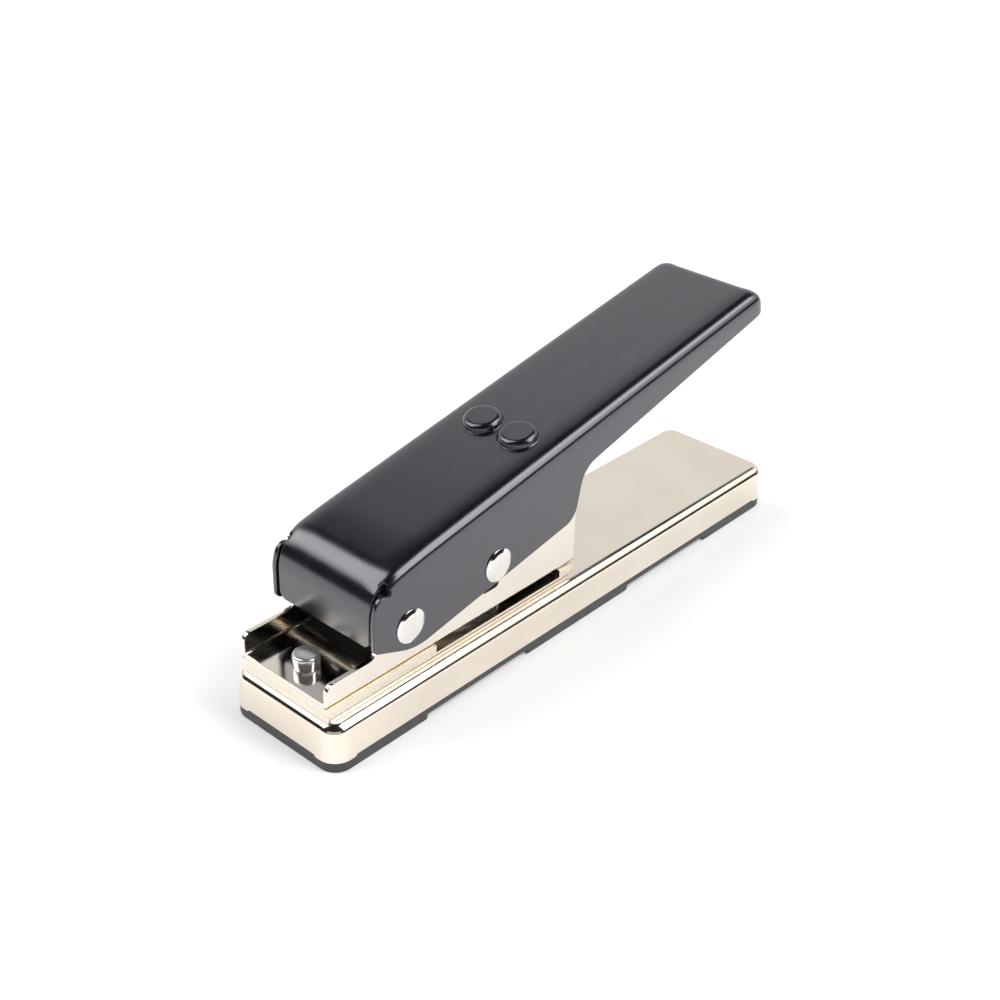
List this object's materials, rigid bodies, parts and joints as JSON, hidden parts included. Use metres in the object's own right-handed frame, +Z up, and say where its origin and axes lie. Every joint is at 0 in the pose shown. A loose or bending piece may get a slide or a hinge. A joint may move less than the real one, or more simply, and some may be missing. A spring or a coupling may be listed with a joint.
{
  "type": "guitar pick punch",
  "caption": "Hand-lever desk punch that cuts a guitar pick out of a plastic card: sprung black lever on a polished channel frame, die plate and long plated base tray.",
  "frame": {"origin": "centre of the base on the surface that the feet rest on", "axes": "+X along the base from the front with the die to the rear under the handle, +Z up"},
  "size_m": [0.196, 0.042, 0.0802],
  "materials": {
    "nickel_sheet": "satin nickel plate with bright rolled edges",
    "polished_nickel": "mirror-polished nickel plate",
    "bright_steel": "polished plated steel",
    "black_paint": "satin black paint",
    "black_plastic": "fine matt moulding",
    "spring_steel": "drawn wire",
    "tool_steel": "ground steel"
  },
  "bodies": {
    "base": {"base_shell": "nickel_sheet", "base_pad": "black_plastic", "die_plate": "nickel_sheet", "front_spacer": "nickel_sheet", "rear_spacer": "nickel_sheet", "punch_frame": "polished_nickel", "floor_rivets": "bright_steel", "pivot_pin": "bright_steel", "pivot_washers": "bright_steel", "spring_pegs": "bright_steel", "return_spring_left": "spring_steel", "return_spring_right": "spring_steel"},
    "lever": {"lever_shell": "black_paint", "drive_pin": "bright_steel", "drive_washers": "bright_steel"},
    "punch": {"punch": "tool_steel", "punch_holder": "tool_steel", "punch_screws": "spring_steel"}
  },
  "joints": [
    {"name": "lever_hinge", "type": "hinge", "parent": "base", "child": "lever", "pos_m": [-0.069, 0, 0.033], "axis": [0, 1, 0], "range_deg": [0, 10.6], "stiffness_Nm_per_rad": 9.2, "springref_deg": -6.88, "deforming": ["return_spring_left", "return_spring_right"]},
    {"name": "punch_slide", "type": "slide", "parent": "base", "child": "punch", "axis": [0, 0, -1], "range_m": [0, 0.0063]}
  ],
  "couplings": [
    {"joint": "punch_slide", "follows": "lever_hinge", "m_per_rad": 0.0336}
  ]
}
